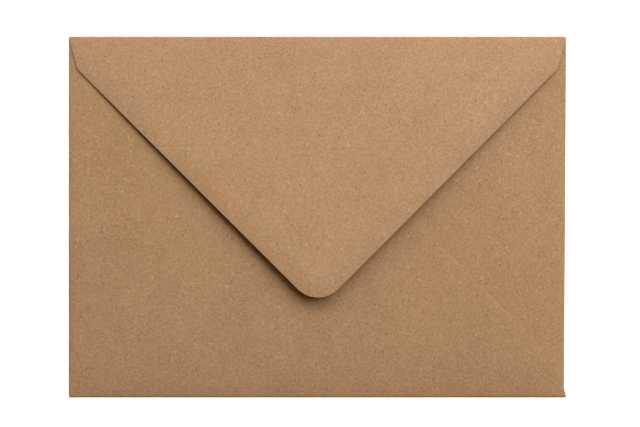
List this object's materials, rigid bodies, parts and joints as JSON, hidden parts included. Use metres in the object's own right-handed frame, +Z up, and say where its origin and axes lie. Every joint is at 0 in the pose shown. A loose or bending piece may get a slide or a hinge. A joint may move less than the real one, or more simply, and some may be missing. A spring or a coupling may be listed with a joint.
{
  "type": "paper envelope",
  "caption": "Kraft paper envelope for a greeting card, lying flat with its pointed closing flap folded over the glued pocket and left unsealed.",
  "frame": {"origin": "underside of the back panel, at the middle of the outline", "axes": "+X along the long side, +Y towards the closing flap's fold, +Z up out of the flap side"},
  "size_m": [0.184, 0.1334, 0.0069],
  "materials": {
    "kraft_paper": "uncoated brown kraft paper, matt, with fine fibres and flecks"
  },
  "bodies": {
    "root": {"envelope": "kraft_paper"}
  },
  "joints": []
}
